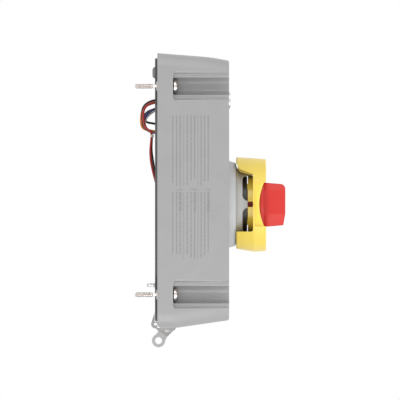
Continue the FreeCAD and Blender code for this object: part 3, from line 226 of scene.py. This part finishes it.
# ---- wires ---------------------------------------------------------------------------------------
WIRES = {
    "red": [(-7.5, -48.4, 84.0), (-7.5, -34.0, 84.0), (-8.0, -16.0, 86.4), (-8.4, 2.0, 87.2),
            (-9.0, 13.2, 81.6), (-9.6, 13.8, 70.0), (-10.4, 12.4, 61.2), (-12.0, 5.4, 57.2),
            (-14.0, 5.8, 49.6), (-16.6, 7.0, 39.4), (-18.8, 6.4, 28.0), (-19.8, 3.0, 13.0),
            (-19.6, -2.4, -4.6), (-19.6, -2.4, -17.5)],
    "black": [(-4.5, -48.4, 84.0), (-4.5, -34.0, 84.0), (-5.0, -16.0, 87.8), (-5.4, 2.0, 89.2),
              (-6.0, 14.4, 83.0), (-6.6, 15.0, 70.4), (-7.6, 13.4, 60.6), (-9.2, 5.0, 56.6),
              (-10.6, 5.4, 49.4), (-11.8, 5.8, 39.0), (-12.4, 4.0, 27.4), (-12.6, 1.8, 13.0),
              (-12.4, -2.4, -4.4), (-12.4, -2.4, -17.5)],
    "orange": [(-1.5, -48.4, 84.0), (-1.5, -34.0, 84.0), (-2.2, -16.0, 85.4), (-2.6, 2.0, 86.4),
               (-3.0, 14.2, 81.0), (-3.4, 16.4, 69.6), (-3.8, 15.0, 60.0), (-3.0, 6.0, 58.2),
               (-1.0, -3.0, 56.6), (1.4, -15.0, 54.6), (4.4, -27.0, 51.0), (6.6, -38.0, 44.2),
               (7.2, -44.0, 32.6), (7.2, -44.0, 17.9)],
    "blue": [(1.5, -48.4, 84.0), (1.5, -35.0, 84.0), (0.8, -18.0, 84.0), (0.4, 0.0, 81.4),
             (0.0, 10.6, 74.6), (-0.2, 14.2, 66.0), (-0.2, 11.0, 58.4), (1.0, 2.0, 56.0),
             (2.4, -8.0, 52.4), (4.2, -17.6, 47.6), (6.0, -26.6, 41.0), (7.2, -32.0, 30.8),
             (7.2, -32.0, 17.9)],
    "white": [(4.5, -48.4, 84.0), (4.5, -35.0, 84.0), (3.8, -18.0, 82.4), (3.4, 0.0, 79.4),
              (3.0, 9.6, 73.0), (2.8, 13.0, 65.4), (3.0, 9.6, 58.6), (4.0, 2.0, 57.0),
              (5.2, -6.0, 51.6), (6.6, -14.6, 42.0), (7.2, -20.0, 30.6), (7.2, -20.0, 17.9)],
    "earth": [(7.5, -48.4, 84.0), (7.5, -35.0, 84.0), (6.8, -18.0, 82.6), (6.4, 1.6, 80.2),
              (6.2, 12.4, 75.6), (6.4, 12.6, 66.6), (7.6, 2.6, 65.2), (11.0, -9.0, 62.0),
              (16.4, -21.0, 56.6), (22.6, -32.0, 50.4), (28.4, -42.0, 43.8), (32.6, -51.6, 36.6),
              (34.0, -58.3, 27.4), (34.0, -58.3, 19.5)],
}
SLEEVE = {"earth": "black"}


def wire(name, route):
    data = bpy.data.curves.new("wire_" + name + "_sleeve", "CURVE")
    data.dimensions = "3D"
    data.resolution_u = 10
    data.bevel_depth = 1.1 * MM
    data.bevel_resolution = 5
    data.use_fill_caps = True
    line = data.splines.new("NURBS")
    line.points.add(len(route) - 1)
    for point, place in zip(line.points, route):
        point.co = (*(Vector(place) * MM), 1)
    line.order_u = 3
    line.use_endpoint_u = True
    obj = bpy.data.objects.new("wire_" + name + "_sleeve", data)
    bpy.context.scene.collection.objects.link(obj)
    slot = SLEEVE.get(name, name) + "_sleeve"
    data.materials.append(FINISH[slot])
    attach(obj, "cover")
    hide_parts("wire_" + name)


# ---- moulded legend bars, marks and board parts --------------------------------------------------
BOX_FACES = ((0, 1, 3, 2), (4, 6, 7, 5), (0, 4, 5, 1), (2, 3, 7, 6), (0, 2, 6, 4), (1, 5, 7, 3))


def cuboids(name, boxes, slot, body="cover"):
    """Many small boxes (x0, x1, y0, y1, z0, z1) as one mesh."""
    verts, faces = [], []
    for x0, x1, y0, y1, z0, z1 in boxes:
        n = len(verts)
        verts += [(x, y, z) for x in (x0, x1) for y in (y0, y1) for z in (z0, z1)]
        faces += [[n + i for i in q] for q in BOX_FACES]
    return piece(name, verts, faces, slot, body)


def legend():
    """Plain bars in place of instruction text on the left side: two blocks of rows up the tapered wall."""
    pick = random.Random(11)
    boxes = []

    def bar(y, half, z0, z1):
        x = -(90.0 + 5.0 * y / 70.0)
        boxes.append((x - 0.07, x + 0.1, y - half, y + half, z0, z1))

    for high, low, big in ((73.0, 3.5, 0.62), (-1.5, -67.0, 1.15)):
        for y in (-15.0, -18.8, -22.2, -29.1, -32.9, -36.3, -42.7, -46.1, -49.6):
            z = high
            heading = y in (-22.2, -36.3, -49.6)
            end = low + pick.uniform(0, 9)
            while z > end:
                length = pick.uniform(1.6, 5.5)
                bar(y, big if heading and z > high - 17 else 0.5, max(z - length, low), z)
                z -= length + pick.uniform(0.45, 0.8)
        for y in (-25.5, -39.6):
            bar(y, 0.16, low, high)
    for k in range(3):
        y = -14.0 - 13.6 * k
        bar(y - 5.6, 5.2, 0.85, 1.15)
    cuboids("legend_bars", boxes, "legend_ink")


def ring(name, centre, r, width, depth, slot, body):
    """A flat annulus that faces -Y."""
    verts, faces, n = [], [], 40
    for i in range(n):
        a = 2 * math.pi * i / n
        for radius, y in ((r, 0), (r + width, 0), (r + width, depth), (r, depth)):
            verts.append((centre[0] + radius * math.cos(a), centre[1] + y, centre[2] + radius * math.sin(a)))
    for i in range(n):
        a, b = 4 * i, 4 * ((i + 1) % n)
        faces += [(a + k, b + k, b + (k + 1) % 4, a + (k + 1) % 4) for k in range(4)]
    return piece(name, verts, faces, slot, body)


def marks():
    """Pointer on the grip and the two plain position marks."""
    cuboids("pointer_line", [(-0.7, 0.7, -124.87, -124.2, -6.5, 1.5)], "mark_white", "rotor")
    cuboids("on_mark", [(-0.9, 0.9, -106.06, -105.5, 16.0, 22.5)], "mark_black")
    ring("off_mark", (-33.5, -99.58, -13.5), 2.4, 1.0, 0.5, "mark_black", "cover")


def board_parts():
    """Chips, resistors and solder joints on the rear face of the indicator's board."""
    face = -55.4
    places = [(-15.5, 92.6), (-12.2, 92.6), (-8.9, 92.6), (-15.5, 79.0), (14.8, 91.4), (14.8, 88.8),
              (11.6, 78.2)]
    small = [(x - 1.0, x + 1.0, face - 0.05, face + 0.6, z - 0.55, z + 0.55)
             for x, z in places]
    chips = [(-4.4, 4.4, face - 0.05, face + 1.5, 90.2, 94.6),
             (6.6, 11.4, face - 0.05, face + 1.2, 93.0, 97.2)]
    cuboids("board_chips", chips + small, "black_plastic")
    legs = [(x - 0.25, x + 0.25, face - 0.05, face + 0.35, z0, z0 + 1.1)
            for x in (-3.6, -2.2, -0.8, 0.8, 2.2, 3.6) for z0 in (89.3, 94.4)]
    ends = [(b[k] - 0.3, b[k] + 0.3, face - 0.05, face + 0.5, b[4], b[5]) for b in small for k in (0, 1)]
    joints = [(x - 0.7, x + 0.7, face - 0.05, face + 0.4, z - 0.7, z + 0.7)
              for x in (-7.5, -4.5, -1.5, 1.5, 4.5, 7.5) for z in (79.8, 88.2)]
    cuboids("board_solder", legs + ends + joints, "solder")


def wire_tie():
    """A pale cable tie round the red and black leads."""
    centre, half, r, thick, tall = Vector((-11.45, 5.4, 53.2)), 1.55, 1.25, 0.6, 2.4
    loop = []
    for side in (1, -1):
        for i in range(13):
            a = math.radians(-90 + 15 * i)
            across, along = side * math.cos(a), side * math.sin(a)
            loop.append((side * (half + math.cos(a) * r), along * r, across, along))
    verts, faces = [], []
    for x, y, nx, ny in loop:
        for out, z in ((0, -tall / 2), (thick, -tall / 2), (thick, tall / 2), (0, tall / 2)):
            verts.append((centre.x + x + nx * out, centre.y + y + ny * out, centre.z + z))
    n = len(loop)
    for i in range(n):
        a, b = 4 * i, 4 * ((i + 1) % n)
        faces += [(a + k, b + k, b + (k + 1) % 4, a + (k + 1) % 4) for k in range(4)]
    piece("wire_tie", verts, faces, "cam_plastic", smooth=40)
    cuboids("wire_tie_head", [(-8.3, -6.7, 4.0, 6.9, 51.7, 54.7)], "cam_plastic")


# ---- screw threads -------------------------------------------------------------------------------
def threads():
    """The cover screws again, thread cylinders turned down to the core, with a helical ridge on it."""
    start, end, pitch, crest, core = 5.3, 21.2, 0.79, 2.415, 1.95
    plain = NODES["cover_screws"]
    screws = bpy.data.objects.new("cover_screws_turned", plain.data.copy())
    screws.matrix_world = plain.matrix_world
    bpy.context.scene.collection.objects.link(screws)
    screws.data.materials.clear()
    screws.data.materials.append(FINISH["screw_steel"])
    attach(screws, "cover")
    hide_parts("cover_screws")
    for v in screws.data.vertices:
        x, y, z = v.co / MM
        ax, az = math.copysign(79.0, x), math.copysign(101.6, z)
        r = math.hypot(x - ax, z - az)
        if y > start - 0.5 and r > core:
            v.co.x, v.co.z = (ax + (x - ax) * core / r) * MM, (az + (z - az) * core / r) * MM
    verts, faces, steps = [], [], 24
    segments = int((end - start) / pitch * steps)
    for ax in (-79.0, 79.0):
        for az in (-101.6, 101.6):
            first = len(verts)
            for i in range(segments + 1):
                a = 2 * math.pi * i / steps
                y = start + pitch * i / steps
                fade = min(1.0, i / steps, (segments - i) / steps)
                top = core - 0.05 + (crest - core + 0.05) * fade
                for r, dy in ((core - 0.08, -0.37), (top, -0.06), (top, 0.06), (core - 0.08, 0.37)):
                    verts.append((ax + r * math.cos(a), y + dy, az + r * math.sin(a)))
            for i in range(segments):
                a = first + 4 * i
                faces += [(a + k, a + k + 4, a + k + 5, a + k + 1) for k in range(3)]
                faces.append((a + 3, a + 7, a + 4, a))
            last = first + 4 * segments
            faces += [(first, first + 1, first + 2, first + 3), (last + 3, last + 2, last + 1, last)]
    piece("screw_threads", verts, faces, "screw_steel", smooth=25)


FINISH = finishes()
camera()
legend()
marks()
board_parts()
wire_tie()
threads()
for wire_name, wire_route in WIRES.items():
    wire(wire_name, wire_route)
slots = {p["node"]: p["material_slot"] for p in frame["record"]["subparts"]}
for node_name, node in NODES.items():
    node.data.materials.clear()
    node.data.materials.append(FINISH[slots[node_name]])
studio()
